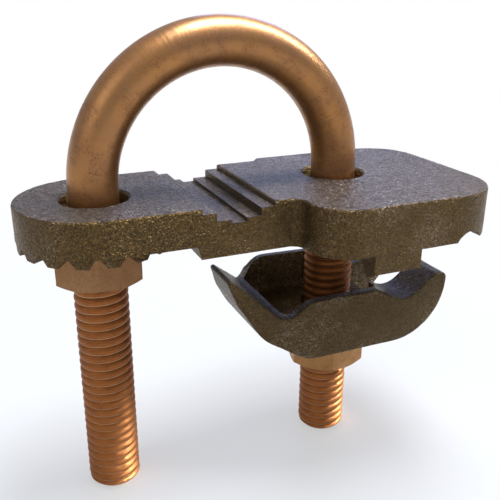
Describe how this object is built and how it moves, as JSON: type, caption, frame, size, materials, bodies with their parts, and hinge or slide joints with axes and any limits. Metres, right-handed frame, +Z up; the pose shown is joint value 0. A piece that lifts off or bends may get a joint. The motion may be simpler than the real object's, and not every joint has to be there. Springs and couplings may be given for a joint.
{
  "type": "earthing pipe clamp",
  "caption": "U-bolt earthing clamp for a pipe, with a stepped cast body, a cast cable saddle under one leg and hexagon nuts.",
  "frame": {"origin": "centre of the U-bolt's bend, on the axis of a pipe that fills the bend", "axes": "+X from the left leg to the right leg, +Y along the pipe, away from the side with the stop lug, +Z up the legs to the crown of the bend"},
  "size_m": [0.0823, 0.0389, 0.0848],
  "materials": {
    "rod_bronze": "satin",
    "cast_bronze": "rough cast",
    "nut_bronze": "matte"
  },
  "bodies": {
    "u_bolt": {"u_bolt": "rod_bronze"},
    "clamp_body": {"clamp_body": "cast_bronze"},
    "left_nut": {"left_nut": "nut_bronze"},
    "cable_saddle": {"cable_saddle": "cast_bronze"},
    "right_nut": {"right_nut": "nut_bronze"}
  },
  "joints": [
    {"name": "body_slide", "type": "slide", "parent": "u_bolt", "child": "clamp_body", "axis": [0, 0, 1], "range_m": [-0.0138, 0.003]},
    {"name": "left_nut_turn", "type": "hinge", "parent": "clamp_body", "child": "left_nut", "pos_m": [-0.02285, 0, -0.012], "axis": [0, 0, 1], "range_deg": [-3130, 681]},
    {"name": "saddle_slide", "type": "slide", "parent": "clamp_body", "child": "cable_saddle", "axis": [0, 0, 1], "range_m": [-0.0025, 0.0045]},
    {"name": "right_nut_turn", "type": "hinge", "parent": "cable_saddle", "child": "right_nut", "pos_m": [0.02285, 0, -0.0374], "axis": [0, 0, 1], "range_deg": [-567, 1021]}
  ],
  "couplings": [
    {"joint": "left_nut_turn", "follows": "body_slide", "rad_per_m": 3957.9},
    {"joint": "right_nut_turn", "follows": "saddle_slide", "rad_per_m": 3957.9}
  ]
}
